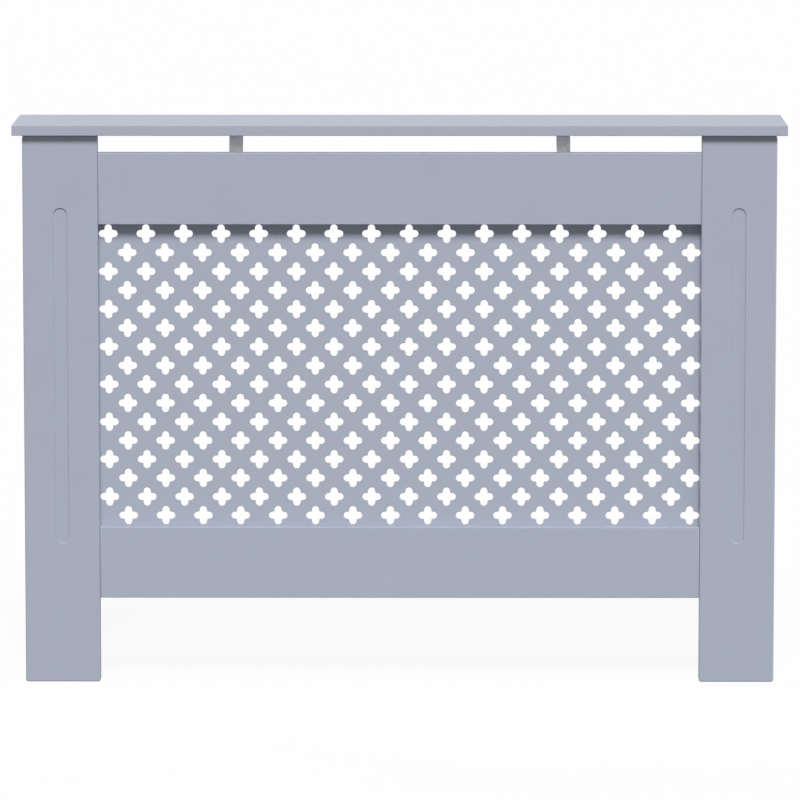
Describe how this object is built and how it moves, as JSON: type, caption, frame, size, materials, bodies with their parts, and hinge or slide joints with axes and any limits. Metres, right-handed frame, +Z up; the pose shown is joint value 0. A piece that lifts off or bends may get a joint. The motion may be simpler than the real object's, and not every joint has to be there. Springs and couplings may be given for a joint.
{
  "type": "radiator cover cabinet",
  "caption": "Free-standing painted board cabinet for a wall radiator: overhanging shelf, routed flat legs, two rails, side panels and a front sheet pierced with staggered crosses.",
  "frame": {"origin": "on the floor, under the middle of the shelf", "axes": "+X to the right as seen from the room, +Y towards the wall, +Z up"},
  "size_m": [1.12, 0.19, 0.815],
  "materials": {
    "grey_paint": "medium-density board under a smooth satin blue-grey lacquer",
    "zinced_steel": "bright zinc plating",
    "beech": "bare turned beech"
  },
  "bodies": {
    "root": {"top_shelf": "grey_paint", "left_leg_board": "grey_paint", "right_leg_board": "grey_paint", "left_side_panel": "grey_paint", "right_side_panel": "grey_paint", "upper_rail": "grey_paint", "lower_rail": "grey_paint", "grille_sheet": "grey_paint", "left_brace_strip": "zinced_steel", "right_brace_strip": "zinced_steel", "left_brace_rail_screw": "zinced_steel", "left_brace_shelf_screw": "zinced_steel", "right_brace_rail_screw": "zinced_steel", "right_brace_shelf_screw": "zinced_steel", "left_front_angle": "zinced_steel", "left_rear_angle": "zinced_steel", "right_front_angle": "zinced_steel", "right_rear_angle": "zinced_steel", "left_front_angle_panel_screw": "zinced_steel", "left_front_angle_shelf_screw": "zinced_steel", "left_rear_angle_panel_screw": "zinced_steel", "left_rear_angle_shelf_screw": "zinced_steel", "right_front_angle_panel_screw": "zinced_steel", "right_front_angle_shelf_screw": "zinced_steel", "right_rear_angle_panel_screw": "zinced_steel", "right_rear_angle_shelf_screw": "zinced_steel", "upper_rail_left_dowel_low": "beech", "upper_rail_left_dowel_high": "beech", "upper_rail_right_dowel_low": "beech", "upper_rail_right_dowel_high": "beech", "lower_rail_left_dowel_low": "beech", "lower_rail_left_dowel_high": "beech", "lower_rail_right_dowel_low": "beech", "lower_rail_right_dowel_high": "beech", "left_side_dowel_1": "beech", "left_side_dowel_2": "beech", "left_side_dowel_3": "beech", "right_side_dowel_1": "beech", "right_side_dowel_2": "beech", "right_side_dowel_3": "beech"}
  },
  "joints": []
}
